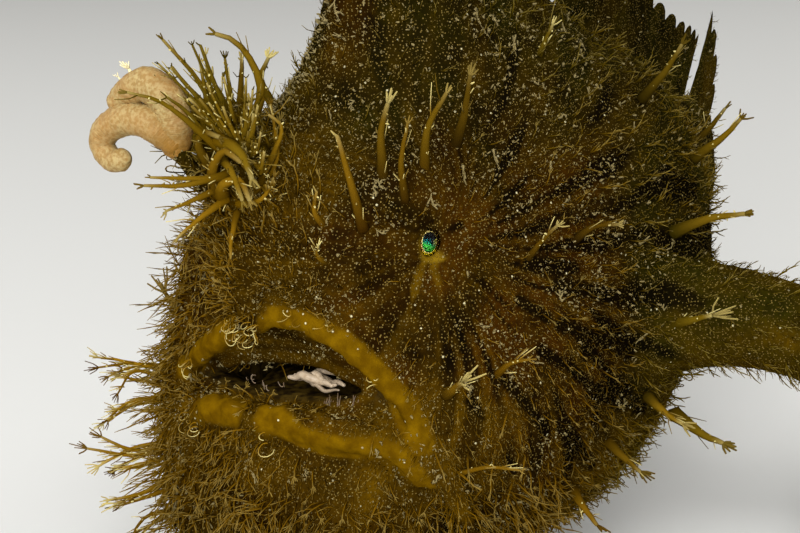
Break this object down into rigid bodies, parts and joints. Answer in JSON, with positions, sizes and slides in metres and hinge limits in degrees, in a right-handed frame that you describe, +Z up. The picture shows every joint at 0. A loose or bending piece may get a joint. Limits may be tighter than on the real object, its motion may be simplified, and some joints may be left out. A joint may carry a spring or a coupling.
{
  "type": "frogfish",
  "caption": "Life-size still model of a striated frogfish propped on its hand-like fins, with skin filaments, an open mouth and a worm-shaped lure.",
  "frame": {"origin": "middle of the bounding box at the floor the fins rest on", "axes": "+Z up; the fish looks along -Y, its left side is +X and its tail points along +Y"},
  "size_m": [0.152, 0.174, 0.1227],
  "materials": {
    "skin": "satin, golden olive with dark streaks",
    "fins": "satin",
    "lips": "smooth, moist",
    "mouth": "moist",
    "lure": "matte cream",
    "eye": "clear, glossy"
  },
  "bodies": {
    "root": {"head": "skin", "lower_jaw": "skin", "dorsal_spine_2": "skin", "dorsal_spine_3": "skin", "trunk": "skin", "tail_stalk": "skin", "illicium": "skin", "pectoral_arm_left": "skin", "pectoral_arm_right": "skin", "soft_dorsal_fin": "fins", "anal_fin": "fins", "caudal_fin": "fins", "pectoral_fin_left": "fins", "pectoral_fin_right": "fins", "pelvic_fin_left": "fins", "pelvic_fin_right": "fins", "upper_lip": "lips", "lower_lip": "lips", "tongue": "mouth", "esca": "lure", "eye_left": "eye", "eye_right": "eye"}
  },
  "joints": []
}
